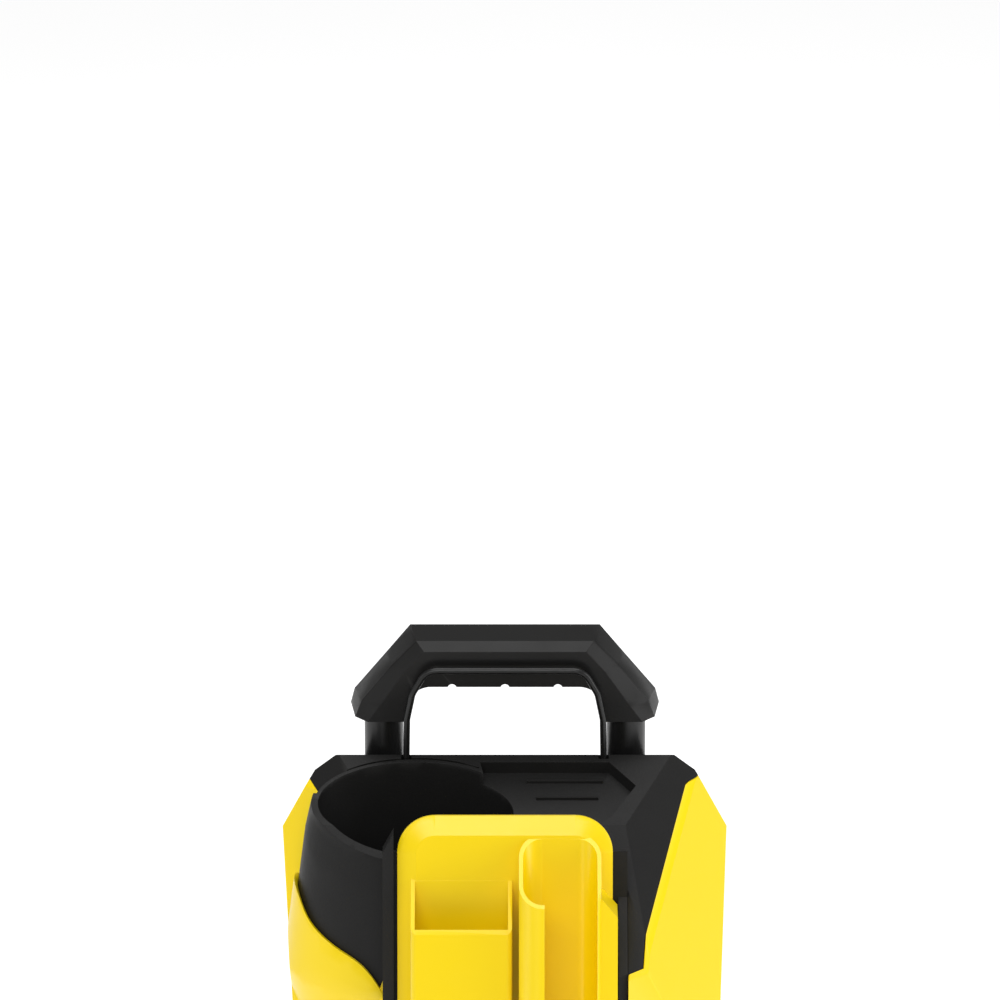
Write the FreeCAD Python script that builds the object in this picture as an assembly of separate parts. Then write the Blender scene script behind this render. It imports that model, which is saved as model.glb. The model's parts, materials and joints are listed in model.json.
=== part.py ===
"""Upright domestic pressure washer, millimetres, +Z up, front towards -Y.

The origin is the middle of the footprint at floor level.
"""
import FreeCAD
import Part
import math
import os

os.makedirs("parts", exist_ok=True)
V = FreeCAD.Vector

# ---- driving dimensions -------------------------------------------------
CREST_Z = 506.0          # top of the casing, at the crest line
CREST_Y = 110.0
BACK_Y = 150.0           # flat back of the casing
CASE_BOTTOM = 66.3       # underside of the casing shells, above the base
SKIN = 3.0               # casing wall
GAP = 0.3                # clearance between separate mouldings
CHANNEL = 78.0           # half width of the channel that holds the storage panel

TUBE_X = 78.0            # telescopic tubes
TUBE_Y = 130.0
TUBE_R = 12.5
TUBE_BORE = 11.1
TUBE_BOTTOM = 28.0
SLEEVE_FOOT = 27.0       # sleeves stand on the base
BUSH_FOOT = 469.0        # guide bushes at the top of the sleeves
BUSH_HEIGHT = 11.0
TRAVEL = 430.0           # full stroke of the telescopic handle
PLUG_HEIGHT = BUSH_FOOT - 1.0 - TRAVEL - TUBE_BOTTOM
GRIP_FOOT = CREST_Z + 21.0
SCREW_DROP = 22.0        # grip screws under the grip's foot
BAIL_X = 63.5            # feet of the thin hoop

WELL = V(-57.0, 64.5, 0)  # centre of the oval bottle well
WELL_A = 64.0
WELL_B = 39.0
WELL_FLOOR = 350.0
WELL_WALL = 2.5
RIM_Z = CREST_Z - 12.0   # height of the well's rim at its middle
RIM_SLOPE = 0.48         # the rim falls towards the front
RIM_GROW = 3.2           # width of the rim
NECK_DROP = 20.0         # the outer wall flares over this height under the rim
NECK_GROW = 7.4
WIDE_Z = CREST_Z - 122.0
WIDE_GROW = 18.5
TUCK_Z = CREST_Z - 222.0  # the outer wall has run into the flank here
TUCK_GROW = -7.0
YELLOW_TOP = CREST_Z - 14.3

TRAY = [(-16, 103), (67, 103), (84, 81), (68, 52), (40, 22), (0, 22)]
TRAY_DEEP = 8.0
TRAY_RIBS = [(14, 63, 94.5), (20, 60, 79)]  # from x, to x, at y

PANEL_TOP = V(0, 12.0, CREST_Z + 5.0)
PANEL_LEAN = 14.0
PANEL_HALF = 68.6
PANEL_LENGTH = 252.0
PANEL_CORNER = 24.0
PANEL_RAISE = 4.0        # the middle of the panel stands this far out of its rim
PANEL_BEVEL = 12.0
POCKET_DEEP = 31.0
HOLSTER = V(35.0, -23.0, 0)  # axis of the lance trough, in the panel's own frame
HOLSTER_HALF = 26.2
HOLSTER_FRONT = -49.2
HOLSTER_ROUND = 15.0
HOLSTER_WALL = 2.6
HOLSTER_DEEP = 38.0

WHEEL_R = 80.0
WHEEL_Y = 104.0
WHEEL_IN = 127.0
WHEEL_W = 25.5
AXLE_R = 5.0

HOOK_Z = 420.0           # swivel of the cable hook
HOSE_HOOK_Z = 322.0
HOSE_HOOK_SCREWS = [-22.0, 22.0]
CORD_X = 38.0
CORD_Z = 120.0
MOUNT_POINTS = [(-30, 0), (30, 0), (0, -30), (0, 30)]  # rubber mounts, from the motor axis
FEET = [(-84, -128), (84, -128)]
GRIP_ARMS = [-66, 66]

MOTOR = V(10.0, 32.0, 0)  # vertical motor and pump axis
PUMP_R = 42.0
HEAD_Z = 84.0
BODY_Z = 112.3
HOUSING_Z = 146.3
CASE_Z = 195.0
MOTOR_R = 55.0
CAP_Z = 300.3
PISTON_RING = 24.0
PISTON_R = 7.0
PORT_X = 42.0            # water inlet at -PORT_X, pressure outlet at +PORT_X
PORT_Z = 98.0
PUMP_PORTS = [-22.0, PORT_X]
PORT_FACE = MOTOR.y - 50
NOSE_Y = -155.0
NOSE_TOP = 262.0
KNOB_AT = V(0, -127.5, 213.5)
SLOPE = V(0, -0.870, 0.493)


# ---- helpers ------------------------------------------------------------
def box(x0, y0, z0, x1, y1, z1):
    return Part.makeBox(x1 - x0, y1 - y0, z1 - z0, V(x0, y0, z0))


def rod(start, axis, radius, length):
    return Part.makeCylinder(radius, length, V(*start), V(*axis))


def ring(start, axis, outer, inner, length):
    return rod(start, axis, outer, length).cut(rod(start, axis, inner, length))


def join(shapes):
    return shapes[0].fuse(shapes[1:]).removeSplitter() if len(shapes) > 1 else shapes[0]


def along(normal, point):
    """Placement that puts local +Z on normal, at point."""
    return FreeCAD.Placement(V(*point), FreeCAD.Rotation(V(0, 0, 1), V(*normal)))


def below(shape, point, normal):
    """Keep what lies under the plane."""
    size = 1200.0
    block = Part.makeBox(size, size, size, V(-size / 2, -size / 2, 0))
    block.Placement = along(normal, point)
    return shape.cut(block)


def polygon(points):
    return Part.makePolygon([V(*p) for p in points] + [V(*points[0])])


def prism(points, direction):
    return Part.Face(polygon(points)).extrude(V(*direction))


def route(points, radius, bore=0.0, bend=14.0):
    """Round tube through the points: straight runs joined by tangent arcs."""
    points = [V(*p) for p in points]
    edges = []
    start = points[0]
    for before, corner, after in zip(points, points[1:], points[2:]):
        into = (corner - before).normalize()
        out = (after - corner).normalize()
        turn = into.getAngle(out)
        cut = bend * math.tan(turn / 2)
        first = corner - into * cut
        last = corner + out * cut
        middle = corner + (out - into).normalize() * (bend / math.cos(turn / 2) - bend)
        edges.append(Part.makeLine(start, first))
        edges.append(Part.Arc(first, middle, last).toShape())
        start = last
    edges.append(Part.makeLine(start, points[-1]))
    path = Part.Wire(edges)
    axis = (points[1] - points[0]).normalize()
    tube = sweep(path, points[0], axis, radius)
    return tube.cut(sweep(path, points[0], axis, bore)) if bore else tube


def sweep(path, start, axis, radius):
    profile = Part.Wire([Part.makeCircle(radius, start, axis)])
    return path.makePipeShell([profile], True, False)


def spring(centre, bottom, height, radius, wire, turns):
    """Compression spring standing on +Z, made of tilted half turns that meet end to end."""
    rise = (height - 2 * wire) / (2 * turns)
    halves = []
    for i in range(2 * turns):
        side = 1 if i % 2 == 0 else -1
        start = V(side * radius, 0, i * rise)
        end = V(-side * radius, 0, (i + 1) * rise)
        axis = V(rise * side, 0, 2 * radius)
        profile = Part.Face(Part.Wire([Part.makeCircle(wire, start, V(0, 1, 0))]))
        halves.append(profile.revolve((start + end) * 0.5, axis, 180))
    coil = halves[0].fuse(halves[1:])
    coil.translate(V(centre.x, centre.y, bottom + wire))
    return coil


def mirrored(shape):
    return shape.mirror(V(0, 0, 0), V(1, 0, 0))


# ---- the casing's outer form ----------------------------------------------
TOP_PLANES = {
    "top": (V(0, CREST_Y, CREST_Z), V(0, -0.259, 0.966)),
    "brow": (V(0, 44, CREST_Z - 17.7), V(0, -0.587, 0.809)),
    "right_brow": (V(107, CREST_Y, CREST_Z), V(0.52, -0.434, 0.737)),
    "left_brow": (V(-107, CREST_Y, CREST_Z), V(-0.52, -0.434, 0.737)),
}
ROOF_PLANES = {
    "roof": (V(0, CREST_Y, CREST_Z), V(0, 0.482, 0.876)),
    "right_roof": (V(109, CREST_Y, CREST_Z), V(0.574, 0.395, 0.718)),
    "left_roof": (V(-109, CREST_Y, CREST_Z), V(-0.574, 0.395, 0.718)),
    "right_eave": (V(126, 107, CREST_Z - 16), V(0.862, 0.245, 0.445)),
    "left_eave": (V(-126, 107, CREST_Z - 16), V(-0.862, 0.245, 0.445)),
    "back": (V(0, BACK_Y, 0), V(0, 1, 0)),
}
SIDE_PLANES = {
    "right_side": (V(143, 0, 450), V(0.998, 0, -0.064)),
    "left_side": (V(-143, 0, 450), V(-0.998, 0, -0.064)),
    "right_shoulder": (V(123, 104.5, CREST_Z - 14.5), V(0.839, -0.365, 0.404)),
    "left_flank": (V(-128, 104.5, CREST_Z - 14.5), V(-0.677, -0.671, 0.303)),
    "right_front": (V(81, -45, CREST_Z - 82), V(0.30, -0.94, 0.17)),
    "left_front": (V(-81, -45, CREST_Z - 82), V(-0.30, -0.94, 0.17)),
}


def envelope(top=0.0, roof=0.0, side=0.0):
    """Faceted outer form with each family of planes moved inwards by its inset."""
    form = box(-150, -190, CASE_BOTTOM, 150, 160, CREST_Z + 20)
    for planes, inset in ((TOP_PLANES, top), (ROOF_PLANES, roof), (SIDE_PLANES, side)):
        for point, normal in planes.values():
            form = below(form, point - normal * inset, normal)
    return form


def oval(z, a, b, slope=0.0):
    """Ellipse around the well's axis; a lies along X, and slope tips it towards the front."""
    centre = V(WELL.x, WELL.y, z)
    ellipse = Part.Ellipse(centre + V(a, 0, 0), centre + V(0, b, slope * b), centre)
    return Part.Wire([ellipse.toShape()])


def bulge(offset):
    """Solid along the outer wall of the well: flares under the rim, then runs into the flank."""
    steps = [(RIM_Z + 24, RIM_GROW, RIM_SLOPE), (RIM_Z, RIM_GROW, RIM_SLOPE),
             (RIM_Z - NECK_DROP, NECK_GROW, RIM_SLOPE), (WIDE_Z, WIDE_GROW, 0), (TUCK_Z, TUCK_GROW, 0)]
    rings = [oval(z, WELL_A + grow + offset, WELL_B + grow + offset, slope) for z, grow, slope in steps]
    parts = [Part.makeLoft([low, high], True, True) for high, low in zip(rings, rings[1:])]
    point, normal = SIDE_PLANES["left_side"]
    return below(parts[0].fuse(parts[1:]), point - normal * (SKIN + 0.2 - offset), normal)


def under_top(shape):
    for name in ("top", "brow"):
        shape = below(shape, *TOP_PLANES[name])
    return shape


def yellow_reach(gap):
    """Everything under the upper ends of the yellow panels; the left one ends on a slant."""
    left = box(-160, -190, CASE_BOTTOM, 0, 160, YELLOW_TOP + gap)
    left = below(left, V(-128, 0, YELLOW_TOP + gap), V(0.52, 0, 0.854))
    return left.fuse(box(0, -190, CASE_BOTTOM, 160, 160, YELLOW_TOP + gap))


# ---- casing shells --------------------------------------------------------
def on_panel(shape):
    """Move a shape from the storage panel's own frame: +Z up the face, -Y out of it."""
    placed = shape.copy()
    placed.rotate(V(0, 0, 0), V(1, 0, 0), -PANEL_LEAN)
    placed.translate(PANEL_TOP)
    return placed


def channel_cut():
    """Space in front of the casing that holds the frame and the storage panel."""
    wide = CHANNEL + GAP
    front = on_panel(box(-wide, -140, -420, wide, 6.3, 60))
    return front.fuse(box(-wide, -200, 60, wide, -45, NOSE_TOP + 30))


def tray_space(grow, deeper):
    """Prism of the tray recess, sunk under the sloping top."""
    slope = math.tan(math.radians(15))
    middle = V(34, 66, 0)
    corners = []
    for x, y in TRAY:
        arm = V(x, y, 0) - middle
        corners.append(middle + arm * (1 + grow / arm.Length))
    floor = [(p.x, p.y, CREST_Z - (CREST_Y - p.y) * slope - TRAY_DEEP - deeper) for p in corners]
    return prism(floor, (0, 0, 60))


def well_space(grow, bottom):
    low = oval(bottom, WELL_A - 8 + grow, WELL_B - 5 + grow)
    high = oval(CREST_Z + 10, WELL_A + grow, WELL_B + grow)
    return Part.makeLoft([low, high], True, True)


def bail_slots():
    return Part.makeCompound([box(s * BAIL_X - 3.3, 106.2, CREST_Z - 16, s * BAIL_X + 3.3, 111.4, CREST_Z + 5)
                              for s in (-1, 1)])


def cover_layer():
    """Black layer under the top and roof planes, and the solid corners above the yellow panels."""
    layer = envelope(side=SKIN + 0.2).cut(envelope(top=SKIN, roof=SKIN, side=-5))
    corners = envelope().cut(envelope(side=SKIN + 0.4))
    return layer.fuse(corners.cut(yellow_reach(GAP)))


def top_cover():
    """Black top moulding: facets, bottle well with its bulging outer wall, and tray."""
    shell = cover_layer().common(box(-160, -190, 300, 160, CREST_Y + 2, CREST_Z + 20))
    shell = shell.cut(bulge(-1.5)).cut(tray_space(0, 0)).cut(channel_cut())
    skirt = under_top(bulge(0).cut(bulge(-WELL_WALL)))
    skirt = skirt.common(box(-150, -40, WELL_FLOOR + 6, -22, 74, CREST_Z + 20))
    wall = under_top(well_space(WELL_WALL, WELL_FLOOR - WELL_WALL))
    tray = under_top(tray_space(2.5, 2.5)).common(box(-40, 19.5, 300, 90, 108, CREST_Z))
    cover = join([shell, skirt, wall, tray])
    cover = cover.cut(well_space(0, WELL_FLOOR)).cut(tray_space(0, 0))
    cover = join([cover] + [tray_rib(*line) for line in TRAY_RIBS])
    neck = rod((WELL.x, WELL.y, WELL_FLOOR - 10), (0, 0, 1), 15.5, 20)
    return cover.cut(neck).cut(bail_slots())


def tray_rib(x0, x1, y):
    slope = math.tan(math.radians(15))
    z = CREST_Z - (CREST_Y - y) * slope - TRAY_DEEP
    return box(x0, y - 1.2, z - 1.5, x1, y + 1.2, z + 1.6)


def rear_cover():
    """Black back shell with tube openings, vents, and holes for the hooks and the cord."""
    shell = cover_layer().common(box(-160, CREST_Y + 2 + GAP, CASE_BOTTOM, 160, 170, CREST_Z + 20))
    for side in (-1, 1):
        shell = shell.cut(rod((side * TUBE_X, TUBE_Y, 470), (0, 0, 1), TUBE_R + 0.8, 50))
    vents = [box(-34, BACK_Y - 5, z, 34, BACK_Y + 1, z + 4) for z in range(190, 290, 12)]
    holes = [rod((CORD_X, BACK_Y - 9, CORD_Z), (0, 1, 0), 9.3, 20),
             rod((0, BACK_Y - 9, HOOK_Z), (0, 1, 0), 6.06, 20)]
    holes += [rod((x, BACK_Y - 9, HOSE_HOOK_Z), (0, 1, 0), 2.2, 20) for x in HOSE_HOOK_SCREWS]
    return shell.cut(Part.makeCompound(vents + holes))


def axle_hole():
    return rod((-160, WHEEL_Y, WHEEL_R), (1, 0, 0), AXLE_R + 1, 320)


def s_curve_cut():
    """Region above the curved upper edge of the left panel, through the bulge."""
    edge = [(-150, -58), (-133, -70), (-125.6, -82.5), (-117, -89.5), (-105.6, -95.6),
            (-93.7, -101.5), (-85, -109.8), (-78, -121)]
    points = [V(x, -90, CREST_Z + z) for x, z in edge]
    curve = Part.BSplineCurve()
    curve.interpolate(points)
    rest = Part.makePolygon([points[-1], V(-60, -90, CREST_Z - 130), V(-60, -90, CREST_Z + 40),
                             V(-150, -90, CREST_Z + 40), points[0]])
    outline = Part.Wire([curve.toShape()] + rest.Edges)
    return Part.Face(outline).extrude(V(0, 200, 0))


def left_side_panel():
    """Yellow side shell that wraps round the lower part of the bottle bulge."""
    outer = envelope()
    flat = outer.cut(envelope(side=SKIN, top=-5, roof=-5)).cut(bulge(GAP))
    wrap = bulge(SKIN).cut(bulge(GAP)).cut(envelope(side=SKIN, top=-5, roof=-5))
    wrap = wrap.cut(s_curve_cut())
    wrap = wrap.common(box(-160, -190, CREST_Z - 220, 0, 90, CREST_Z))
    panel = flat.fuse(wrap).cut(axle_hole())
    panel = panel.common(box(-160, -190, CASE_BOTTOM, -CHANNEL - GAP, BACK_Y - SKIN - GAP, CREST_Z))
    return panel.common(yellow_reach(0))


def right_side_panel():
    layer = envelope().cut(envelope(side=SKIN, top=-5, roof=-5)).cut(axle_hole())
    layer = layer.common(box(CHANNEL + GAP, -190, CASE_BOTTOM, 160, BACK_Y - SKIN - GAP, CREST_Z))
    return layer.common(yellow_reach(0))


def storage_frame():
    """Black frame round the storage panel: back plate and two cheek bars."""
    low = -PANEL_LENGTH
    plate = on_panel(box(-CHANNEL, 3.3, low, CHANNEL, 6, -PANEL_CORNER))
    left = box(-CHANNEL, -4, low, -71, 40, -10)
    slant = prism([(-79, -10, -26), (-70, -10, -9), (-70, -10, 10), (-79, -10, 10)], (0, 60, 0))
    left = on_panel(left.cut(slant)).cut(bulge(GAP))
    left = left.common(box(-160, -190, 60, 0, 24, CREST_Z)).cut(well_space(WELL_WALL + GAP, 340))
    right = on_panel(box(72.2, -70, low, CHANNEL, 6, -8)).common(envelope(side=SKIN + 0.2))
    return join([plate, left, right]).cut(box(-90, -200, 40, 90, 100, NOSE_TOP + GAP))


def panel_plate():
    """Plate with rounded top corners and a wide bevel along its free edges."""
    plate = box(-PANEL_HALF, -PANEL_RAISE, -PANEL_LENGTH, PANEL_HALF, 3, 0)
    corners = [e for e in plate.Edges if e.BoundBox.YLength > 6 and e.CenterOfMass.z > -1]
    plate = plate.makeFillet(PANEL_CORNER, corners)
    face = max((f for f in plate.Faces if f.BoundBox.YMax < 0), key=lambda f: f.Area)
    rim = [e for e in face.Edges if e.BoundBox.ZMax > -PANEL_LENGTH + 1]
    return plate.makeChamfer(PANEL_BEVEL, PANEL_RAISE, rim)


def accessory_pocket():
    """Left pocket: open-topped box with a slanted mouth."""
    outer = box(-60, -POCKET_DEEP, -PANEL_LENGTH + 3, 4.5, 0.5, -30)
    upright = [e for e in outer.Edges if e.BoundBox.ZLength > 100 and e.BoundBox.YMax < 1 - POCKET_DEEP]
    outer = outer.makeFillet(4, upright)
    inner = box(-57.4, -POCKET_DEEP + 2.6, -PANEL_LENGTH + 7, 1.9, -PANEL_RAISE - 0.1, 0)
    front = -POCKET_DEEP - 5
    mouth = prism([(-70, 1, -36), (-70, front, -76), (-70, front, 5), (-70, 1, 5)], (100, 0, 0))
    return outer.cut(inner).cut(mouth)


def rounded_post(half, front, back, low, top, radius):
    """Upright square post about the holster axis with rounded corners."""
    post = box(HOLSTER.x - half, front, low, HOLSTER.x + half, back, top)
    return post.makeFillet(radius, [e for e in post.Edges if e.BoundBox.ZLength > 100])


def holster_outside():
    """Rounded square trough with a squared right shoulder."""
    low = -PANEL_LENGTH + 3
    trough = rounded_post(HOLSTER_HALF, HOLSTER_FRONT, -1, low, 0, HOLSTER_ROUND)
    shoulder = box(HOLSTER.x, -HOLSTER_DEEP, low, PANEL_HALF + 2.9, 0.5, 0)
    slope = prism([(58, -80, -42), (80, -80, -68), (80, -80, 5), (20, -80, 5), (20, -80, -42)], (0, 100, 0))
    return trough.fuse(shoulder.cut(slope))


def holster_mouth():
    """What lies above the slanted mouth."""
    return prism([(-5, 2, -9.5), (-5, -60, -58), (-5, -60, 5), (-5, 2, 5)], (100, 0, 0))


def holster_hollow():
    low = -PANEL_LENGTH + 15
    half = HOLSTER_HALF - HOLSTER_WALL
    front = HOLSTER_FRONT + HOLSTER_WALL
    bore = rounded_post(half, front, -PANEL_RAISE - 0.1, low, 400, HOLSTER_ROUND - HOLSTER_WALL)
    throat = box(25, -60, low + 48, HOLSTER.x + half, HOLSTER.y, 30)
    return bore.fuse(throat)


def storage_panel():
    """Yellow panel with the accessory pocket on its left and the lance holster on its right."""
    holster = holster_outside().cut(holster_mouth())
    shape = join([panel_plate(), accessory_pocket(), holster])
    return on_panel(shape.cut(holster_hollow()))


# ---- lower body -----------------------------------------------------------
def nose_form(inset):
    """Lower front cover with a sloping switch face."""
    wide = CHANNEL - inset
    form = box(-wide, NOSE_Y + inset, CASE_BOTTOM, wide, -40, NOSE_TOP - inset)
    form = below(form, V(0, -100, NOSE_TOP) - SLOPE * inset, SLOPE)
    for side in (-1, 1):
        normal = V(side * 0.6, -0.8, 0)
        form = below(form, V(side * 62, NOSE_Y, 0) - normal * inset, normal)
    return form


def front_nose():
    shell = nose_form(0).cut(nose_form(SKIN)).cut(box(-70, -60, CASE_BOTTOM - 1, 70, -30, NOSE_TOP - SKIN))
    shell = shell.cut(box(-70, -150, CASE_BOTTOM - 1, 70, -60, CASE_BOTTOM + 4))
    shell = shell.cut(rod((-PORT_X, NOSE_Y - 5, PORT_Z), (0, 1, 0), 13.6, 15))
    shell = shell.cut(rod((PORT_X, NOSE_Y - 5, PORT_Z), (0, 1, 0), 14.3, 15))
    shell = shell.cut(box(PORT_X - 6.3, NOSE_Y - 5, PORT_Z, PORT_X + 6.3, NOSE_Y + 8, PORT_Z + 38))
    return shell.cut(rod(KNOB_AT - SLOPE * 8, SLOPE, 5.0, 16))


def base_form(inset, top):
    """Chamfered tub under the casing."""
    form = box(-116 + inset, -172 + inset, 24 + inset, 116 - inset, BACK_Y - inset, top)
    for side in (-1, 1):
        front = V(side * 0.707, -0.707, 0)
        form = below(form, V(side * 84, -172, 0) - front * inset, front)
    return form


def base():
    tub = base_form(0, 66).cut(base_form(SKIN, 66 - SKIN)).cut(box(-72, -146, 50, 72, -50, 70))
    tub = tub.cut(box(-110, -52, 50, 110, BACK_Y - SKIN, 70))
    posts = [rod((MOTOR.x + dx, MOTOR.y + dy, 26), (0, 0, 1), 9.5, 34) for dx, dy in MOUNT_POINTS]
    sockets = [rod((side * TUBE_X, TUBE_Y - 3, 26), (0, 0, 1), 11.0, 0.9) for side in (-1, 1)]
    hubs = [box(side * 111 - 3, WHEEL_Y - 11, 26, side * 111 + 3, WHEEL_Y + 11, 93) for side in (-1, 1)]
    shape = join([tub] + posts + hubs)
    shape = shape.cut(rod((-160, WHEEL_Y, WHEEL_R), (1, 0, 0), AXLE_R + 0.05, 320))
    for x, y in FEET:
        shape = shape.cut(rod((x, y, 20), (0, 0, 1), 6.0, 12))
    for x in GRIP_ARMS:
        shape = shape.cut(rod((x, -180, 45), (0, 1, 0), 2.2, 20))
    return shape.cut(Part.makeCompound(sockets))


def front_feet():
    feet = []
    for x, y in FEET:
        pad = Part.makeCone(15, 16.5, 24, V(x, y, 0))
        feet.append(pad.fuse(rod((x, y, 20), (0, 0, 1), 5.9, 10)))
    return Part.makeCompound(feet)


def carry_grip():
    """Fixed lifting grip in front of the base."""
    outer = prism([(-74, -172.3, 36), (-74, -188, 36), (-60, -205.5, 36),
                   (60, -205.5, 36), (74, -188, 36), (74, -172.3, 36)], (0, 0, 19))
    inner = prism([(-57, -170, 30), (-57, -183, 30), (-50, -190.5, 30),
                   (50, -190.5, 30), (57, -183, 30), (57, -170, 30)], (0, 0, 30))
    bar = outer.cut(inner)
    edges = [e for e in bar.Edges if e.BoundBox.ZLength < 0.01 and e.BoundBox.YMin < -183]
    bar = bar.makeFillet(3.5, edges)
    return bar.cut(Part.makeCompound([rod((x, -181, 45), (0, 1, 0), 2.05, 12) for x in GRIP_ARMS]))


# ---- telescopic handle ----------------------------------------------------
def tube(side):
    foot = (side * TUBE_X, TUBE_Y, TUBE_BOTTOM)
    pipe = ring(foot, (0, 0, 1), TUBE_R, TUBE_BORE, GRIP_FOOT - TUBE_BOTTOM)
    return pipe.cut(rod((side * TUBE_X, TUBE_Y, GRIP_FOOT - SCREW_DROP), (0, 1, 0), 1.95, 20))


def tube_plugs():
    """Sliding feet of the tubes, which stop under the bushes at full stroke."""
    plugs = []
    for side in (-1, 1):
        foot = (side * TUBE_X, TUBE_Y, TUBE_BOTTOM)
        collar = ring(foot, (0, 0, 1), 14.4, TUBE_R, PLUG_HEIGHT)
        plugs.append(collar.fuse(rod((foot[0], foot[1], TUBE_BOTTOM - 1), (0, 0, 1), 14.4, 1)))
    return Part.makeCompound(plugs)


def tube_sleeves():
    height = BUSH_FOOT + BUSH_HEIGHT - SLEEVE_FOOT
    sleeves = [ring((s * TUBE_X, TUBE_Y, SLEEVE_FOOT), (0, 0, 1), 16.0, 14.5, height) for s in (-1, 1)]
    return Part.makeCompound(sleeves).cut(rod((-160, WHEEL_Y, WHEEL_R), (1, 0, 0), 7, 320))


def tube_bushes():
    feet = [(side * TUBE_X, TUBE_Y, BUSH_FOOT) for side in (-1, 1)]
    return Part.makeCompound([ring(foot, (0, 0, 1), 14.5, TUBE_R + 0.06, BUSH_HEIGHT) for foot in feet])


def grip_outline(y, top, shoulder, knee, foot):
    """Symmetric outline: each corner is (half width, height above the crest)."""
    right = [top, shoulder, knee, foot]
    points = [(x, y, CREST_Z + z) for x, z in right]
    points += [(-x, y, CREST_Z + z) for x, z in reversed(right)]
    return polygon(points)


def handle_grip():
    front = grip_outline(115, (52, 71), (64.4, 56.7), (80, 33), (88.5, 21))
    middle = grip_outline(123, (57, 75), (73, 57.5), (92, 33), (96.5, 21))
    back = grip_outline(145, (61, 76.4), (77.5, 55.5), (97, 31), (99.5, 21))
    form = Part.makeLoft([front, middle], True, True).fuse(Part.makeLoft([middle, back], True, True))
    opening = box(-62.5, 100, CREST_Z, 62.5, 160, CREST_Z + 46)
    corners = [e for e in opening.Edges if e.BoundBox.YLength > 50 and e.BoundBox.ZMin > CREST_Z + 40]
    opening = opening.makeFillet(15, corners)
    notches = [rod((x, 100, CREST_Z + 45), (0, 1, 0), 3.0, 26) for x in (-34, 0, 34)]
    form = form.removeSplitter().cut(opening).cut(Part.makeCompound(notches))
    for side in (-1, 1):
        spigot = rod((side * TUBE_X, TUBE_Y, GRIP_FOOT - 35), (0, 0, 1), TUBE_BORE - 0.05, 36)
        spigot = spigot.cut(rod((side * TUBE_X, TUBE_Y - 15, GRIP_FOOT - SCREW_DROP), (0, 1, 0), 1.9, 30))
        form = form.fuse(spigot)
    return form


def grip_screws():
    """Two screws that lock the grip's spigots in the tubes, from behind."""
    screws = []
    for side in (-1, 1):
        at = (side * TUBE_X, TUBE_Y, GRIP_FOOT - SCREW_DROP)
        screws.append(rod(at, (0, 1, 0), 1.9, TUBE_R - 0.6))
    return Part.makeCompound(screws)


def wire_bail():
    """Thin fixed hoop in front of the grip."""
    y = 108.8
    top = CREST_Z + 60.5
    path = [(63.7, y, CREST_Z - 14), (63.0, y, CREST_Z + 26), (59.5, y, CREST_Z + 44),
            (50.5, y, top), (-50.5, y, top), (-59.5, y, CREST_Z + 44), (-63.0, y, CREST_Z + 26),
            (-63.7, y, CREST_Z - 14)]
    return route(path, 2.1, bend=12.0)


# ---- wheels, hooks and fittings -------------------------------------------
def wheel(side):
    """Plastic wheel with a dished web and eight spokes, on the right for side 1."""
    x0 = WHEEL_IN
    rim = ring((x0, WHEEL_Y, WHEEL_R), (1, 0, 0), 68, 62, WHEEL_W)
    web = ring((x0 + 8, WHEEL_Y, WHEEL_R), (1, 0, 0), 63, 12, 4)
    hub = ring((x0, WHEEL_Y, WHEEL_R), (1, 0, 0), 14, AXLE_R + 0.05, WHEEL_W - 5)
    parts = [rim, web, hub]
    for i in range(8):
        spoke = box(x0 + 2, WHEEL_Y + 17.4, WHEEL_R - 2.2, x0 + WHEEL_W - 5, WHEEL_Y + 63, WHEEL_R + 2.2)
        spoke.rotate(V(x0, WHEEL_Y, WHEEL_R), V(1, 0, 0), i * 45)
        parts.append(spoke)
    shape = join(parts)
    return shape if side > 0 else mirrored(shape)


def tyre(side):
    """Tread ring with shallow grooves."""
    x0 = WHEEL_IN
    shape = ring((x0, WHEEL_Y, WHEEL_R), (1, 0, 0), WHEEL_R, 68, WHEEL_W)
    edges = [e for e in shape.Edges if e.BoundBox.ZLength > 2 * WHEEL_R - 1]
    shape = shape.makeFillet(3, edges)
    grooves = [ring((x0 + x, WHEEL_Y, WHEEL_R), (1, 0, 0), WHEEL_R + 1, WHEEL_R - 1.5, 2) for x in (7, 16.5)]
    shape = shape.cut(Part.makeCompound(grooves))
    return shape if side > 0 else mirrored(shape)


def hub_cap(side):
    x0 = WHEEL_IN + WHEEL_W - 4.7
    cap = rod((x0, WHEEL_Y, WHEEL_R), (1, 0, 0), 24, 5)
    cap = cap.makeFillet(2.5, [e for e in cap.Edges if e.BoundBox.XMin > x0 + 4])
    cap = cap.fuse(ring((x0 - 4, WHEEL_Y, WHEEL_R), (1, 0, 0), 17, 14.1, 4.5))
    cap = cap.cut(rod((x0 - 5, WHEEL_Y, WHEEL_R), (1, 0, 0), 8, 8))
    return cap if side > 0 else mirrored(cap)


def axle():
    return rod((-150, WHEEL_Y, WHEEL_R), (1, 0, 0), AXLE_R, 300)


def cable_hook():
    """Swivelling upper cable hook on its pin."""
    arm = box(-9, BACK_Y + 0.8, HOOK_Z - 14, 9, BACK_Y + 5, HOOK_Z + 34)
    arm = arm.fuse(box(-9, BACK_Y + 0.8, HOOK_Z + 20, 9, BACK_Y + 34, HOOK_Z + 25))
    lip = box(-9, BACK_Y + 29, HOOK_Z + 20, 9, BACK_Y + 34, HOOK_Z + 42)
    arm = arm.fuse(lip)
    pin = rod((0, BACK_Y - 7, HOOK_Z), (0, 1, 0), 6.0, 9)
    stop = rod((0, BACK_Y - 7, HOOK_Z), (0, 1, 0), 8.5, 3)
    return join([arm, pin, stop])


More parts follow.
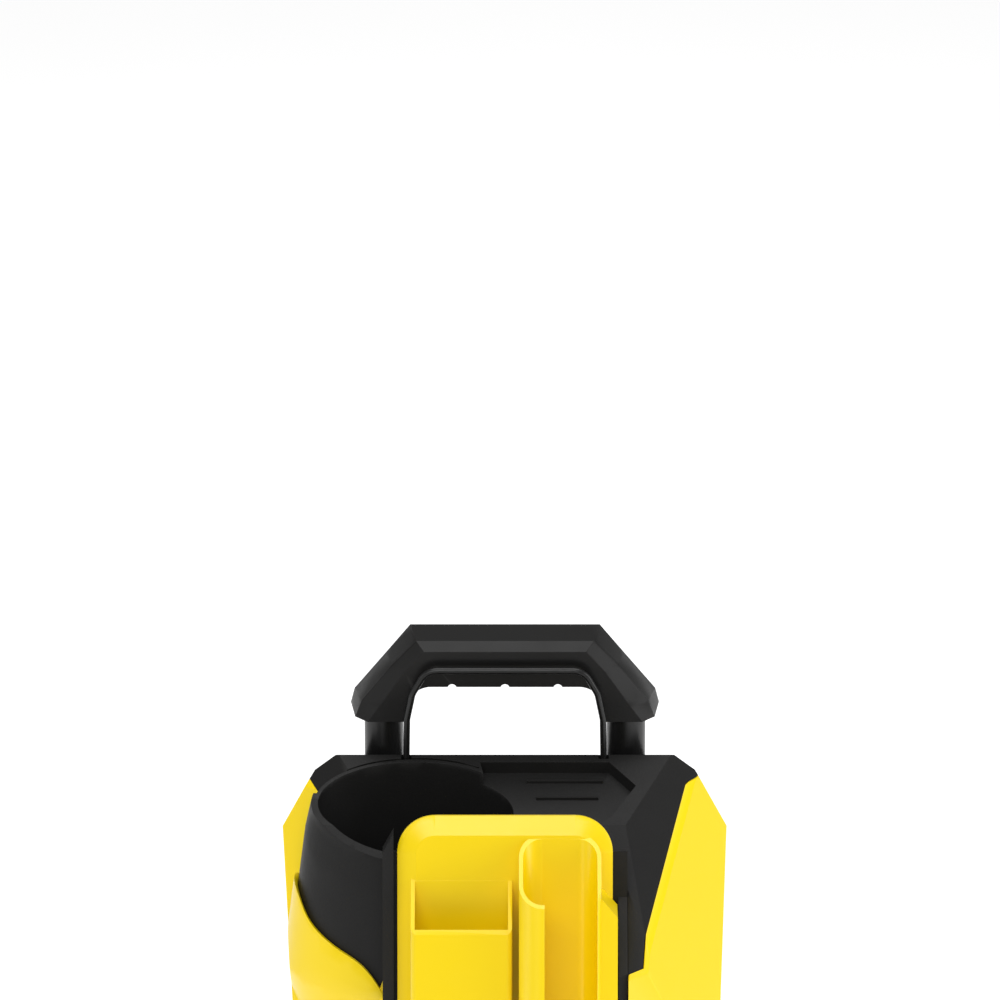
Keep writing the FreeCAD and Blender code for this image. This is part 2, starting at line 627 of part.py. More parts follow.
def hose_hook():
    """Fixed cradle behind the casing for the pressure hose and the cable's lower turn."""
    plate = box(-30, BACK_Y + GAP, HOSE_HOOK_Z - 14, 30, BACK_Y + 5, HOSE_HOOK_Z + 14)
    low = HOSE_HOOK_Z - 14
    arms = [box(x - 4, BACK_Y + 1, low, x + 4, BACK_Y + 52, low + 8) for x in (-24, 24)]
    lips = [box(x - 4, BACK_Y + 48, low, x + 4, BACK_Y + 55.5, low + 36) for x in (-24, 24)]
    bar = box(-28, BACK_Y + 48, low, 28, BACK_Y + 55.5, low + 8)
    shape = join([plate] + arms + lips + [bar])
    for x in HOSE_HOOK_SCREWS:
        shape = shape.cut(rod((x, BACK_Y - 1, HOSE_HOOK_Z), (0, 1, 0), 2.2, 20))
    return shape


def cord_gland():
    """Tapered cord entry; the cord itself is not part of the model."""
    cone = Part.makeCone(9.0, 6.5, 22, V(CORD_X, BACK_Y + 1, CORD_Z), V(0, 1, 0))
    flange = rod((CORD_X, BACK_Y + GAP, CORD_Z), (0, 1, 0), 13, 2.5)
    neck = rod((CORD_X, BACK_Y - 8, CORD_Z), (0, 1, 0), 9.0, 9)
    gland = join([cone, flange, neck])
    return gland.cut(rod((CORD_X, BACK_Y - 10, CORD_Z), (0, 1, 0), 4.1, 40))


def water_inlet():
    """Male threaded inlet stub with a wrench collar."""
    start = NOSE_Y - 22
    stub = ring((-PORT_X, start, PORT_Z), (0, 1, 0), 13.2, 9.6, 21.5)
    collar = ring((-PORT_X, NOSE_Y - GAP - 3.2, PORT_Z), (0, 1, 0), 17, 9.6, 3.2)
    body = ring((-PORT_X, NOSE_Y - 1, PORT_Z), (0, 1, 0), 13.2, 9.6, 14)
    tail = ring((-PORT_X, NOSE_Y + 12.9, PORT_Z), (0, 1, 0), 13.2, 4.1, 6)
    return join([stub, collar, body, tail])


def inlet_strainer():
    """Cone sieve pushed into the inlet."""
    y = NOSE_Y - 14
    sieve = Part.makeCone(9.0, 5.0, 20, V(-PORT_X, y, PORT_Z), V(0, 1, 0))
    sieve = sieve.cut(Part.makeCone(7.8, 3.8, 19, V(-PORT_X, y - 0.2, PORT_Z), V(0, 1, 0)))
    return sieve.fuse(ring((-PORT_X, y, PORT_Z), (0, 1, 0), 9.5, 7.8, 1.6))


def inlet_nut():
    nut = ring((-PORT_X, NOSE_Y + SKIN + GAP, PORT_Z), (0, 1, 0), 18, 13.25, 6)
    flats = []
    for i in range(6):
        flat = box(-40, -1, 15.6, 40, 8, 40)
        flat.rotate(V(0, 0, 0), V(0, 1, 0), i * 60)
        flat.translate(V(-PORT_X, NOSE_Y + SKIN, PORT_Z))
        flats.append(flat)
    return nut.cut(Part.makeCompound(flats))


def outlet_socket():
    """High-pressure quick-connect socket with a slot for its lock button."""
    body = rod((PORT_X, NOSE_Y - 12, PORT_Z), (0, 1, 0), 14, 40)
    collar = rod((PORT_X, NOSE_Y - 5.3, PORT_Z), (0, 1, 0), 18, 5)
    block = box(PORT_X - 6, NOSE_Y - 5, PORT_Z, PORT_X + 6, NOSE_Y + 7.5, PORT_Z + 30)
    body = join([body, collar, block])
    body = body.cut(rod((PORT_X, NOSE_Y - 13, PORT_Z), (0, 1, 0), 7.5, 29))
    body = body.cut(rod((PORT_X, NOSE_Y, PORT_Z), (0, 1, 0), 3.2, 40))
    shaft = rod((PORT_X, NOSE_Y + 1.2, PORT_Z + 9), (0, 0, 1), 3.05, 25)
    well = rod((PORT_X, NOSE_Y + 1.2, PORT_Z + 18), (0, 0, 1), 5.2, 20)
    return body.cut(shaft).cut(well)


def outlet_lock_button():
    """Button pressed down to free the hose; its spring returns it."""
    stem = rod((PORT_X, NOSE_Y + 1.2, PORT_Z + 14), (0, 0, 1), 3.0, 14)
    head = rod((PORT_X, NOSE_Y + 1.2, PORT_Z + 26.5), (0, 0, 1), 5.0, 7)
    return stem.fuse(head)


def lock_spring():
    return spring(V(PORT_X, NOSE_Y + 1.2, 0), PORT_Z + 18.1, 8.2, 4.2, 0.5, 4)


def switch_knob():
    """Rotary on/off knob with a grip bar and pointer."""
    disc = Part.makeCylinder(25, 8)
    disc = disc.makeFillet(2.5, [e for e in disc.Edges if e.BoundBox.ZMin > 7])
    bar = Part.makeBox(12, 46, 14, V(-6, -23, 7))
    bar = bar.makeFillet(3, [e for e in bar.Edges if e.BoundBox.ZMin > 20])
    stem = Part.makeCylinder(4, 24, V(0, 0, -23))
    knob = join([disc, bar, stem])
    knob.Placement = along(SLOPE, KNOB_AT + SLOPE * 0.6)
    return knob


def switch_module():
    block = Part.makeBox(38, 44, 26, V(-19, -22, -30))
    block = block.cut(Part.makeCylinder(4.05, 40, V(0, 0, -25)))
    block.Placement = along(SLOPE, KNOB_AT)
    return block


# ---- motor and pump ---------------------------------------------------------
def at_motor(z):
    return (MOTOR.x, MOTOR.y, z)


def motor_ring(z, outer, inner, length):
    return ring(at_motor(z), (0, 0, 1), outer, inner, length)


def bolt_places(radius, count=4, turn=45):
    angles = [math.radians(turn + 360 * i / count) for i in range(count)]
    return [(MOTOR.x + radius * math.cos(a), MOTOR.y + radius * math.sin(a)) for a in angles]


def motor_case():
    case = motor_ring(CASE_Z, MOTOR_R, 52, CAP_Z - GAP - CASE_Z)
    floor = motor_ring(CASE_Z, 53, 13, 9)
    return join([case, floor])


def motor_end_cap():
    lid = motor_ring(CAP_Z, MOTOR_R, 13, 12).cut(motor_ring(CAP_Z - 1, 50, 24, 9))
    seat = motor_ring(CAP_Z + 9, 17, 13, 8)
    top = motor_ring(CAP_Z + 17, 17, 5.4, 3)
    cap = join([lid, seat, top])
    slots = [rod((x, y, CAP_Z), (0, 0, 1), 4.5, 20) for x, y in bolt_places(38, 8, 22.5)]
    return cap.cut(Part.makeCompound(slots))


def stator():
    core = motor_ring(215, 51.9, 31.5, 60)
    slots = [rod((x, y, 210), (0, 0, 1), 4.0, 70) for x, y in bolt_places(40, 12, 0)]
    return core.cut(Part.makeCompound(slots))


def rotor():
    core = motor_ring(217, 30.5, AXLE_R, 56)
    slots = [rod((x, y, 210), (0, 0, 1), 2.0, 70) for x, y in bolt_places(28.6, 16, 0)]
    commutator = motor_ring(276, 15, AXLE_R, 9)
    return join([core.cut(Part.makeCompound(slots)), motor_ring(272.9, 15, AXLE_R, 4), commutator])


def motor_shaft():
    return rod(at_motor(169), (0, 0, 1), AXLE_R, CAP_Z + 16.5 - 169)


def motor_bearings():
    places = [CASE_Z + 0.5, CAP_Z + 9.3]
    return Part.makeCompound([motor_ring(z, 12.95, AXLE_R + 0.06, 7.4) for z in places])


def fan():
    """Cooling fan on the shaft, under the end cap."""
    disc = motor_ring(288, 46, AXLE_R, 2)
    hub = motor_ring(288, 10, AXLE_R, 9)
    blades = []
    for i in range(12):
        blade = box(MOTOR.x + 14, MOTOR.y - 0.8, 289.5, MOTOR.x + 45, MOTOR.y + 0.8, 298.5)
        blade.rotate(V(*at_motor(0)), V(0, 0, 1), i * 30)
        blades.append(blade)
    return join([disc, hub] + blades)


def wobble_plate():
    """Tilted swash plate that drives the pistons."""
    tilt = V(math.sin(math.radians(8)), 0, math.cos(math.radians(8)))
    plate = Part.makeCylinder(32, 7, V(*at_motor(0)) + V(0, 0, 176) - tilt * 3.5, tilt)
    hub = rod(at_motor(172), (0, 0, 1), 11, 20)
    return plate.fuse(hub).cut(rod(at_motor(160), (0, 0, 1), AXLE_R, 40))


def wobble_housing():
    wall = motor_ring(HOUSING_Z, PUMP_R, 37, CASE_Z - GAP - HOUSING_Z)
    lugs = [rod((x, y, HOUSING_Z), (0, 0, 1), 6, 14) for x, y in bolt_places(40)]
    lugs = Part.makeCompound(lugs).cut(rod(at_motor(140), (0, 0, 1), 37, 60))
    return wall.fuse(lugs).cut(bolt_holes(3.05))


def bolt_holes(radius):
    return Part.makeCompound([rod((x, y, 60), (0, 0, 1), radius, 97) for x, y in bolt_places(40)])


def pistons():
    rods = []
    for x, y in bolt_places(PISTON_RING, 3, 90):
        rods.append(rod((x, y, 122), (0, 0, 1), PISTON_R, 40))
        rods.append(rod((x, y, 162), (0, 0, 1), 9.4, 4.5))
    return Part.makeCompound([rods[i].fuse(rods[i + 1]) for i in range(0, len(rods), 2)])


def piston_springs():
    coils = [spring(V(x, y, 0), HOUSING_Z + GAP, 15, 8.4, 0.7, 4) for x, y in bolt_places(PISTON_RING, 3, 90)]
    return Part.makeCompound(coils)


def pump_body():
    block = rod(at_motor(BODY_Z), (0, 0, 1), PUMP_R, HOUSING_Z - GAP - BODY_Z)
    lugs = Part.makeCompound([rod((x, y, BODY_Z), (0, 0, 1), 6, 14) for x, y in bolt_places(40)])
    places = bolt_places(PISTON_RING, 3, 90)
    bores = [rod((x, y, BODY_Z - 1), (0, 0, 1), PISTON_R + 0.05, 60) for x, y in places]
    return block.fuse(lugs).cut(Part.makeCompound(bores)).cut(bolt_holes(3.05))


def pump_head():
    block = rod(at_motor(HEAD_Z), (0, 0, 1), PUMP_R, BODY_Z - GAP - HEAD_Z)
    lugs = Part.makeCompound([rod((x, y, HEAD_Z), (0, 0, 1), 6, 12) for x, y in bolt_places(40)])
    bosses = [rod((x, PORT_FACE, PORT_Z), (0, 1, 0), 9, 40) for x in PUMP_PORTS]
    shape = join([block, lugs] + bosses)
    ports = [rod((x, PORT_FACE - 1, PORT_Z), (0, 1, 0), 4.0, 30) for x in PUMP_PORTS]
    return shape.cut(Part.makeCompound(ports)).cut(bolt_holes(3.05))


def pump_bolts():
    bolts = []
    for x, y in bolt_places(40):
        head = rod((x, y, HEAD_Z - 4.2), (0, 0, 1), 5.0, 4)
        bolts.append(head.fuse(rod((x, y, HEAD_Z - 1), (0, 0, 1), 3.0, 68)))
    return Part.makeCompound(bolts)


def inlet_pipe():
    path = [(-PORT_X, NOSE_Y + 19.2, PORT_Z), (-PORT_X, -98, PORT_Z), (PUMP_PORTS[0], -58, PORT_Z),
            (PUMP_PORTS[0], PORT_FACE - GAP, PORT_Z)]
    return route(path, 6, bore=4, bend=30)


def outlet_pipe():
    start = NOSE_Y + 28.3
    return ring((PORT_X, start, PORT_Z), (0, 1, 0), 5, 3.2, PORT_FACE - GAP - start)


def pressure_switch():
    block = box(55, 17, 88, 80, 47, 118)
    return block.fuse(rod((MOTOR.x + PUMP_R + GAP, MOTOR.y, PORT_Z), (1, 0, 0), 5, 4))


def capacitor():
    can = rod((-70, 22, 212), (0, 0, 1), 16, 56)
    return can.makeFillet(2, [e for e in can.Edges if e.BoundBox.ZMin > 260])


def rubber_mounts():
    """Soft blocks that carry the pump on the base's posts."""
    return Part.makeCompound([rod((MOTOR.x + dx, MOTOR.y + dy, 60.2), (0, 0, 1), 9.5, HEAD_Z - 60.4)
                              for dx, dy in MOUNT_POINTS])


# ---- detergent coupling -----------------------------------------------------
def at_well(z):
    return (WELL.x, WELL.y, z)


def detergent_coupling():
    """Cup under the well that opens the upturned bottle's cap."""
    bottom = WELL_FLOOR - WELL_WALL - 30
    cup = rod(at_well(bottom), (0, 0, 1), 19, 29.6).fuse(rod(at_well(bottom + 26.5), (0, 0, 1), 25, 3.1))
    cup = cup.cut(rod(at_well(bottom + 4), (0, 0, 1), 15.5, 40))
    chamber = rod(at_well(bottom - 30), (0, 0, 1), 8.5, 31).cut(rod(at_well(bottom - 27), (0, 0, 1), 5.5, 28))
    cup = cup.fuse(chamber).cut(rod(at_well(bottom - 1), (0, 0, 1), 4.06, 8))
    return cup.cut(rod(at_well(bottom - 40), (0, 0, 1), 2.5, 14))


def detergent_poppet():
    bottom = WELL_FLOOR - WELL_WALL - 30
    stem = rod(at_well(bottom - 12), (0, 0, 1), 4.0, 30)
    return stem.fuse(rod(at_well(bottom + 12.2), (0, 0, 1), 7.5, 2.5))


def poppet_spring():
    bottom = WELL_FLOOR - WELL_WALL - 30
    return spring(WELL, bottom + 4.1, 8.0, 5.4, 0.5, 3)


def suction_tube():
    top = WELL_FLOOR - WELL_WALL - 60.3
    path = [(WELL.x, WELL.y, top), (WELL.x, WELL.y, 145), (WELL.x, MOTOR.y, PORT_Z),
            (MOTOR.x - PUMP_R - GAP, MOTOR.y, PORT_Z)]
    return route(path, 4, bore=2.4, bend=12)


def casing_screws():
    """Screws that hold the hose hook on the back cover and the carry grip on the base."""
    screws = []
    for x in HOSE_HOOK_SCREWS:
        head = rod((x, BACK_Y + 5.2, HOSE_HOOK_Z), (0, 1, 0), 4, 2.2)
        screws.append(rod((x, BACK_Y - 6, HOSE_HOOK_Z), (0, 1, 0), 2.0, 12).fuse(head))
    for x in GRIP_ARMS:
        head = rod((x, -168.7, 45), (0, 1, 0), 4, 2.2)
        screws.append(rod((x, -180, 45), (0, 1, 0), 2.0, 14).fuse(head))
    return Part.makeCompound(screws)


NODES = {
    "top_cover": top_cover,
    "rear_cover": rear_cover,
    "left_side_panel": left_side_panel,
    "right_side_panel": right_side_panel,
    "front_nose": front_nose,
    "base": base,
    "storage_frame": storage_frame,
    "storage_panel": storage_panel,
    "carry_grip": carry_grip,
    "front_feet": front_feet,
    "axle": axle,
    "left_wheel": lambda: wheel(-1),
    "left_tyre": lambda: tyre(-1),
    "left_hub_cap": lambda: hub_cap(-1),
    "right_wheel": lambda: wheel(1),
    "right_tyre": lambda: tyre(1),
    "right_hub_cap": lambda: hub_cap(1),
    "left_tube": lambda: tube(-1),
    "right_tube": lambda: tube(1),
    "tube_plugs": tube_plugs,
    "tube_sleeves": tube_sleeves,
    "tube_bushes": tube_bushes,
    "handle_grip": handle_grip,
    "grip_screws": grip_screws,
    "wire_bail": wire_bail,
    "switch_knob": switch_knob,
    "switch_module": switch_module,
    "outlet_socket": outlet_socket,
    "outlet_lock_button": outlet_lock_button,
    "lock_spring": lock_spring,
    "water_inlet": water_inlet,
    "inlet_strainer": inlet_strainer,
    "inlet_nut": inlet_nut,
    "cord_gland": cord_gland,
    "cable_hook": cable_hook,
    "hose_hook": hose_hook,
    "casing_screws": casing_screws,
    "motor_case": motor_case,
    "motor_end_cap": motor_end_cap,
    "stator": stator,
    "rotor": rotor,
    "motor_shaft": motor_shaft,
    "motor_bearings": motor_bearings,
    "fan": fan,
    "wobble_plate": wobble_plate,
    "wobble_housing": wobble_housing,
    "pistons": pistons,
    "piston_springs": piston_springs,
    "pump_body": pump_body,
    "pump_head": pump_head,
    "pump_bolts": pump_bolts,
    "inlet_pipe": inlet_pipe,
    "outlet_pipe": outlet_pipe,
    "pressure_switch": pressure_switch,
    "capacitor": capacitor,
    "rubber_mounts": rubber_mounts,
    "detergent_coupling": detergent_coupling,
    "detergent_poppet": detergent_poppet,
    "poppet_spring": poppet_spring,
    "suction_tube": suction_tube,
}

for node, make in NODES.items():
    make().exportStep("parts/" + node + ".step")
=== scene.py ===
"""Pressure washer: looks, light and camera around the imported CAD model. Metres, +Z up, front towards -Y."""

import json
import math

import bmesh
import bpy
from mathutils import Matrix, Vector

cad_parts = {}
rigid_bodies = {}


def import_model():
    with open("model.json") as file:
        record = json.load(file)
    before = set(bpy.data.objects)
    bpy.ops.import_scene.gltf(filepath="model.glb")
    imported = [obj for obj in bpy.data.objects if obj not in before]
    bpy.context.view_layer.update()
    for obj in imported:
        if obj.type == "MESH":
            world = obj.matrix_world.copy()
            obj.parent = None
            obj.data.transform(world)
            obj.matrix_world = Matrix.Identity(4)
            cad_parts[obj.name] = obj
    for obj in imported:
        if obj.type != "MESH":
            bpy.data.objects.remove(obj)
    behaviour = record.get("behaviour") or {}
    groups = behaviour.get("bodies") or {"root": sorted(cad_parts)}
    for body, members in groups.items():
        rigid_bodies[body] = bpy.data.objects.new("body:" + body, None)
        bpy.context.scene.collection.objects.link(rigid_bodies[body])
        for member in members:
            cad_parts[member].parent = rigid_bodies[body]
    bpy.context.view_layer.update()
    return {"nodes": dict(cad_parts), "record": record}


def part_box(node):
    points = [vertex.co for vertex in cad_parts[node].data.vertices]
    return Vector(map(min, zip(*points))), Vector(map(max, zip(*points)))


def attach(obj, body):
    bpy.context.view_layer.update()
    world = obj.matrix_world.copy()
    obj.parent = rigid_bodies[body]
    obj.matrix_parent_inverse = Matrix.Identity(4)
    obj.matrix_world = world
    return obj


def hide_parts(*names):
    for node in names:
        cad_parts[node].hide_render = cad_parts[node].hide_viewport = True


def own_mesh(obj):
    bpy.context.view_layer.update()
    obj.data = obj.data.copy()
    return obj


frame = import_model()
NODES = frame["nodes"]
SLOT_OF = {s["node"]: s["material_slot"] for s in frame["record"]["subparts"]}


# ---- material helpers -------------------------------------------------------
class Graph:
    """Short calls for building one material's nodes."""

    def __init__(self, name, base, rough, metal=0.0, spec=0.5, coat=0.0):
        self.mat = bpy.data.materials.new(name)
        self.mat.use_nodes = True
        self.tree = self.mat.node_tree
        self.bsdf = self.tree.nodes["Principled BSDF"]
        self.bsdf.inputs["Base Color"].default_value = (*base, 1)
        self.bsdf.inputs["Roughness"].default_value = rough
        self.bsdf.inputs["Metallic"].default_value = metal
        self.bsdf.inputs["Specular IOR Level"].default_value = spec
        self.bsdf.inputs["Coat Weight"].default_value = coat
        self.place = self.add("ShaderNodeTexCoord").outputs["Object"]

    def add(self, kind, **settings):
        node = self.tree.nodes.new(kind)
        for key, value in settings.items():
            if key in node.inputs:
                self.feed(node.inputs[key], value)
            else:
                setattr(node, key, value)
        return node

    def feed(self, socket, value):
        if isinstance(value, bpy.types.NodeSocket):
            self.tree.links.new(value, socket)
        else:
            socket.default_value = value

    def noise(self, scale, detail=2.0, rough=0.5, stretch=None):
        where = self.place
        if stretch:
            where = self.add("ShaderNodeMapping", Vector=where, Scale=stretch).outputs["Vector"]
        return self.add("ShaderNodeTexNoise", Vector=where, Scale=scale, Detail=detail,
                        Roughness=rough).outputs["Fac"]

    def remap(self, value, low, high, from_low=0.0, from_high=1.0):
        node = self.add("ShaderNodeMapRange", clamp=True)
        for key, number in (("Value", value), ("From Min", from_low), ("From Max", from_high),
                            ("To Min", low), ("To Max", high)):
            self.feed(node.inputs[key], number)
        return node.outputs["Result"]

    def blend(self, factor, first, second):
        node = self.add("ShaderNodeMix", data_type="RGBA")
        self.feed(node.inputs["Factor"], factor)
        self.feed(node.inputs[6], (*first, 1) if isinstance(first, tuple) else first)
        self.feed(node.inputs[7], (*second, 1) if isinstance(second, tuple) else second)
        return node.outputs[2]

    def highlight_edge_mask(self, low=0.53, high=0.62):
        """Share of convex edge at a point, from the mesh's own pointiness; it masks the painted edge
        highlights.
        """
        point = self.add("ShaderNodeNewGeometry").outputs["Pointiness"]
        return self.remap(point, 0.0, 1.0, low, high)

    def bump(self, height, strength, distance, under=None):
        node = self.add("ShaderNodeBump", Height=height, Strength=strength, Distance=distance)
        if under:
            self.feed(node.inputs["Normal"], under)
        return node.outputs["Normal"]

    def set(self, name, value):
        self.feed(self.bsdf.inputs[name], value)


def moulded_plastic(name, base, light, rough, grain=0.35, grain_size=1100, spec=0.22, coat=0.0):
    """Spark-eroded moulding: fine grain, faint flow mottling, and paler convex edges as a painted highlight.
    """
    g = Graph(name, base, rough, spec=spec, coat=coat)
    g.bsdf.inputs["Coat Roughness"].default_value = 0.22
    mottle = g.noise(9, 3)
    colour = g.blend(g.remap(mottle, 0.0, 0.6), base, light)
    # painted highlight: convex edges lightened as if catching light
    painted_edge_highlight = tuple(min(1, c * 2.2 + 0.004) for c in light)
    colour = g.blend(g.remap(g.highlight_edge_mask(), 0.0, 0.6), colour, painted_edge_highlight)
    g.set("Base Color", colour)
    g.set("Roughness", g.remap(g.noise(60, 4), rough - 0.07, rough + 0.07))
    fine = g.bump(g.noise(grain_size, 2), grain, 0.0003)
    g.set("Normal", g.bump(g.noise(14, 2), 0.08, 0.002, fine))
    return g.mat


def satin_yellow():
    """Glossier yellow moulding with the faintest orange peel."""
    g = Graph("satin_yellow", YELLOW, 0.30, spec=0.40)
    mottle = g.noise(7, 3)
    colour = g.blend(g.remap(mottle, 0.0, 0.5), YELLOW, YELLOW_LIGHT)
    # painted highlight: convex edges lightened towards a pale yellow
    colour = g.blend(g.remap(g.highlight_edge_mask(), 0.0, 0.7), colour, YELLOW_EDGE_HIGHLIGHT)
    g.set("Base Color", colour)
    g.set("Roughness", g.remap(g.noise(80, 4), 0.26, 0.34))
    fine = g.bump(g.noise(900, 2), 0.12, 0.0002)
    g.set("Normal", g.bump(g.noise(30, 2), 0.05, 0.001, fine))
    return g.mat


def drawn_metal(name, base, rough, metal=1.0, stretch=(1, 1, 0.02)):
    """Metal with fine lines along the length."""
    g = Graph(name, base, rough, metal)
    lines = g.noise(1800, 2, stretch=stretch)
    g.set("Roughness", g.remap(lines, rough - 0.08, rough + 0.08))
    dust = g.noise(40, 4)
    worn = tuple(min(1, c * 1.3 + 0.01) for c in base)
    g.set("Base Color", g.blend(g.remap(dust, 0.0, 0.25), base, worn))
    g.set("Normal", g.bump(lines, 0.12, 0.0001))
    return g.mat


def rubber(name, base, rough=0.8):
    g = Graph(name, base, rough, spec=0.3)
    dust = g.noise(25, 5)
    g.set("Base Color", g.blend(g.remap(dust, 0.0, 0.5, 0.45, 0.75), base, (0.10, 0.095, 0.09)))
    g.set("Roughness", g.remap(dust, rough - 0.1, rough + 0.08))
    g.set("Normal", g.bump(g.noise(700, 3), 0.35, 0.0003))
    return g.mat


YELLOW = (0.90, 0.65, 0.0)
YELLOW_LIGHT = (0.93, 0.69, 0.0)
# pale yellow painted on convex edges as a highlight
YELLOW_EDGE_HIGHLIGHT = (0.98, 0.82, 0.16)
BLACK = (0.0072, 0.0071, 0.0069)
BLACK_LIGHT = (0.0115, 0.0112, 0.0108)

FINISH = {
    "black_plastic": moulded_plastic("black_plastic", BLACK, BLACK_LIGHT, 0.5),
    "yellow_plastic": satin_yellow(),
    "red_plastic": moulded_plastic("red_plastic", (0.42, 0.02, 0.015), (0.5, 0.04, 0.03), 0.45),
    "grey_plastic": moulded_plastic("grey_plastic", (0.19, 0.19, 0.19), (0.24, 0.24, 0.235), 0.5),
    "black_tube": drawn_metal("black_tube", (0.006, 0.006, 0.006), 0.34, metal=0.2),
    "steel": drawn_metal("steel", (0.55, 0.55, 0.54), 0.35),
    "aluminium": drawn_metal("aluminium", (0.72, 0.72, 0.73), 0.45, stretch=(1, 1, 1)),
    "brass": drawn_metal("brass", (0.72, 0.5, 0.2), 0.35),
    "rubber": rubber("rubber", (0.014, 0.014, 0.014)),
    "tyre": rubber("tyre", (0.018, 0.018, 0.018)),
}


GRIP_FINISH = moulded_plastic("grip_plastic", BLACK, BLACK_LIGHT, 0.42, grain=0.2, spec=0.16, coat=0.06)


# ---- CAD nodes: edges and finishes --------------------------------------------
EDGE_RADIUS = {
    "top_cover": 0.0012, "storage_panel": 0.0012, "left_side_panel": 0.0010, "right_side_panel": 0.0010,
    "rear_cover": 0.0015, "front_nose": 0.0020, "base": 0.0020, "storage_frame": 0.0010,
    "handle_grip": 0.0022, "carry_grip": 0.0008, "hose_hook": 0.0012, "cable_hook": 0.0010,
    "left_wheel": 0.0006, "right_wheel": 0.0006,
}


def soften(node, width):
    """Rounds the node's sharp edges with a modifier; its own mesh stays as packed."""
    weld = node.modifiers.new("weld", "WELD")
    weld.merge_threshold = 0.00002
    bevel = node.modifiers.new("edges", "BEVEL")
    bevel.width = width
    bevel.segments = 2
    bevel.limit_method = "ANGLE"
    bevel.angle_limit = math.radians(28)
    bevel.harden_normals = True
    bevel.use_clamp_overlap = True


for name, node in NODES.items():
    node.data.materials.clear()
    node.data.materials.append(GRIP_FINISH if name == "handle_grip" else FINISH[SLOT_OF[name]])
    if name in EDGE_RADIUS:
        soften(node, EDGE_RADIUS[name])


# ---- spring coils copied onto their joint's parent body --------------------------
JOINTS = frame["record"]["behaviour"]["joints"]


def shortening_coil(name, joint):
    """Stands for a spring's node: a copy of its mesh fixed to the joint's parent body."""
    node = NODES[name]
    coil = bpy.data.objects.new(f"{name}_coil", node.data.copy())
    coil.matrix_world = node.matrix_world
    bpy.context.scene.collection.objects.link(coil)
    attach(coil, joint["parent"])
    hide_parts(name)
    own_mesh(coil)


for joint in JOINTS:
    for spring in joint.get("deforming_nodes", []):
        shortening_coil(spring["node"], joint)


# ---- marks round the switch -----------------------------------------------------
SWITCH = next(j for j in JOINTS if j["name"] == "switch_turn")
DIAL_OUT = Vector(SWITCH["axis"]).normalized()
DIAL_RIGHT = Vector((1, 0, 0))
DIAL_UP = DIAL_OUT.cross(DIAL_RIGHT)
RELIEF = 0.0005
MARK_RADIUS = 33          # millimetres from the switch axis to the off and on marks
STEP_RADIUS = 31
STEP_DOT = 0.7
STEP_DEGREES = 15
RING_OUTER = (2.4, 3.4)
RING_INNER = (1.5, 2.5)
BAR_SIZE = (6.0, 1.0)


def raised_mark(name, outline, inner=None):
    """Low relief mark on the switch face from a flat outline in millimetres."""
    origin = Vector(SWITCH["pos_m"])
    mesh = bpy.data.meshes.new(name)
    rings = [outline] + ([inner] if inner else [])
    form = bmesh.new()
    loops = []
    for ring in rings:
        verts = [form.verts.new(origin + DIAL_RIGHT * (x / 1000) + DIAL_UP * (y / 1000)) for x, y in ring]
        loops.append([form.edges.new((a, b)) for a, b in zip(verts, verts[1:] + verts[:1])])
    if inner:
        bmesh.ops.bridge_loops(form, edges=loops[0] + loops[1])
    else:
        form.faces.new([edge.verts[0] for edge in loops[0]])
    bmesh.ops.recalc_face_normals(form, faces=form.faces)
    lifted = bmesh.ops.extrude_face_region(form, geom=form.faces[:])["geom"]
    moved = [item for item in lifted if isinstance(item, bmesh.types.BMVert)]
    bmesh.ops.translate(form, verts=moved, vec=DIAL_OUT * RELIEF)
    bmesh.ops.recalc_face_normals(form, faces=form.faces)
    form.to_mesh(mesh)
    form.free()
    piece = bpy.data.objects.new(name, mesh)
    bpy.context.scene.collection.objects.link(piece)
    mesh.materials.append(FINISH["grey_plastic"])
    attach(piece, "casing")


def ellipse_points(x, y, a, b, count=28):
    turns = [2 * math.pi * i / count for i in range(count)]
    return [(x + a * math.cos(t), y + b * math.sin(t)) for t in turns]


def bar_points(x, y, width, height):
    return [(x - width / 2, y - height / 2), (x + width / 2, y - height / 2),
            (x + width / 2, y + height / 2), (x - width / 2, y + height / 2)]


off_ring = [ellipse_points(0, MARK_RADIUS, *size) for size in (RING_OUTER, RING_INNER)]
raised_mark("mark_off", *off_ring)
raised_mark("mark_on", bar_points(MARK_RADIUS, 0, *BAR_SIZE))
for step in range(1, 6):
    turn = math.radians(90 - STEP_DEGREES * step)
    centre = (STEP_RADIUS * math.cos(turn), STEP_RADIUS * math.sin(turn))
    raised_mark(f"mark_step_{step}", ellipse_points(*centre, STEP_DOT, STEP_DOT, 16))


# ---- floor, light and camera ---------------------------------------------------
FLOOR_GLOW = 0.45
WORLD_GLOW = 0.29
LIGHT_AIM = (0, 0, 0.42)


def pale_floor():
    bpy.ops.mesh.primitive_plane_add(size=14, location=(0, 2, 0))
    floor = bpy.context.object
    floor.name = "floor"
    g = Graph("pale_floor", (0.93, 0.93, 0.93), 0.7, spec=0.2)
    g.set("Base Color", g.blend(g.noise(3, 2), (0.92, 0.92, 0.92), (0.95, 0.95, 0.95)))
    g.bsdf.inputs["Emission Color"].default_value = (1, 1, 1, 1)
    g.bsdf.inputs["Emission Strength"].default_value = FLOOR_GLOW
    floor.data.materials.append(g.mat)


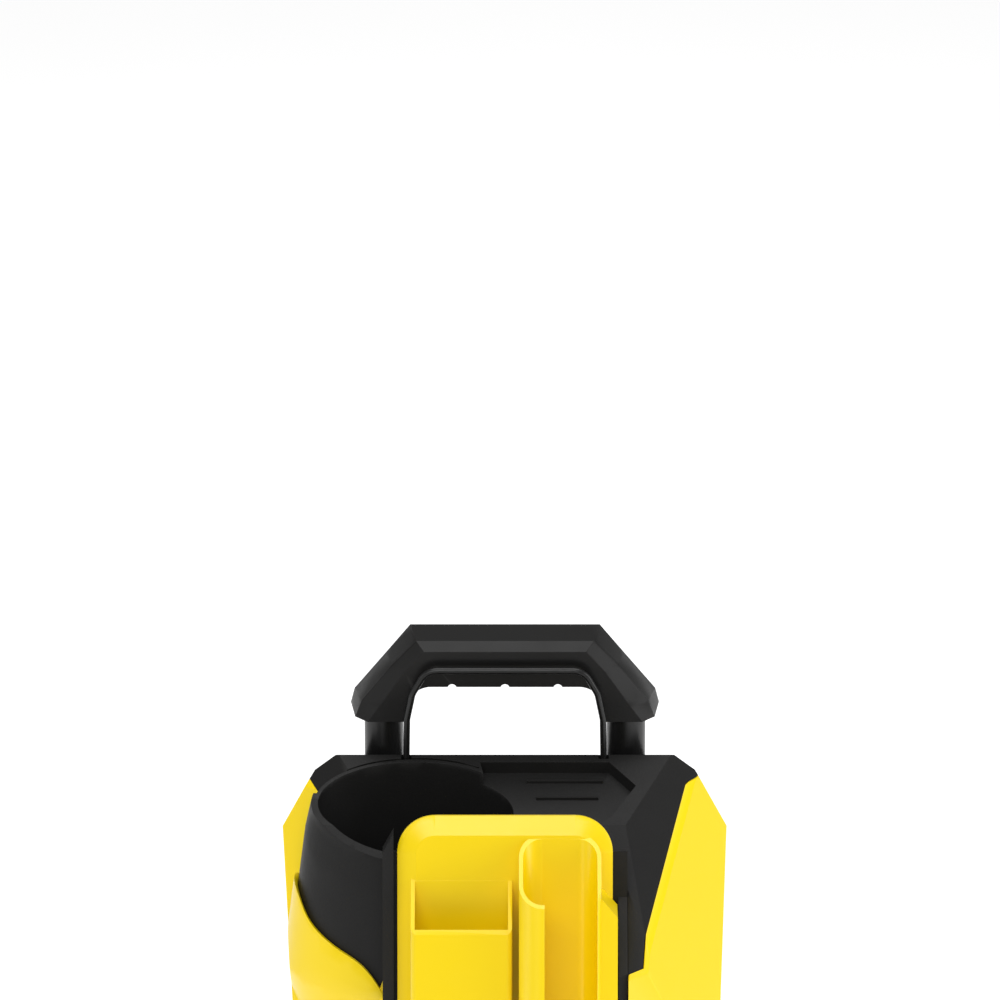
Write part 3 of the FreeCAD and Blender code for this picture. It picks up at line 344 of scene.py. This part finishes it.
def area_light(name, place, target, size, power):
    data = bpy.data.lights.new(name, "AREA")
    data.shape = "RECTANGLE"
    data.size, data.size_y = size
    data.energy = power
    light = bpy.data.objects.new(name, data)
    light.location = place
    light.rotation_euler = (Vector(target) - Vector(place)).to_track_quat("-Z", "Y").to_euler()
    bpy.context.scene.collection.objects.link(light)


def studio():
    world = bpy.data.worlds.new("studio")
    world.use_nodes = True
    world.node_tree.nodes["Background"].inputs["Color"].default_value = (1, 1, 1, 1)
    world.node_tree.nodes["Background"].inputs["Strength"].default_value = WORLD_GLOW
    bpy.context.scene.world = world
    area_light("front_high", (-0.4, -2.2, 2.4), LIGHT_AIM, (2.2, 1.0), 35)
    area_light("right_side", (2.4, -0.5, 1.3), LIGHT_AIM, (1.4, 1.8), 26)
    area_light("left_side", (-2.4, -0.8, 1.3), LIGHT_AIM, (1.4, 1.8), 9)
    area_light("top", (0.1, 0.6, 3.0), LIGHT_AIM, (2.4, 1.6), 42)


ELEVATION = math.radians(25)
DISTANCE = 7.5
LENS_MM = 419.3
CREST_FROM_BACK = 0.0023   # the crest line runs this far in front of the back cover's front edge
AIM_ABOVE_CREST = 0.164
AIM_SIDEWAYS = -0.0032


def photo_camera():
    """Long lens from straight in front, 25 degrees up, framed on the top of the machine."""
    crest = Vector((0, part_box("rear_cover")[0].y - CREST_FROM_BACK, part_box("top_cover")[1].z))
    up = Vector((0, math.sin(ELEVATION), math.cos(ELEVATION)))
    target = Vector((AIM_SIDEWAYS, crest.y, crest.z)) + up * AIM_ABOVE_CREST
    view = Vector((0, math.cos(ELEVATION), -math.sin(ELEVATION)))
    data = bpy.data.cameras.new("camera")
    data.lens = LENS_MM
    data.sensor_width = 36
    data.clip_end = 50
    camera = bpy.data.objects.new("camera", data)
    camera.location = target - view * DISTANCE
    camera.rotation_euler = view.to_track_quat("-Z", "Y").to_euler()
    bpy.context.scene.collection.objects.link(camera)
    bpy.context.scene.camera = camera


pale_floor()
studio()
photo_camera()
bpy.context.scene.view_settings.view_transform = "Standard"
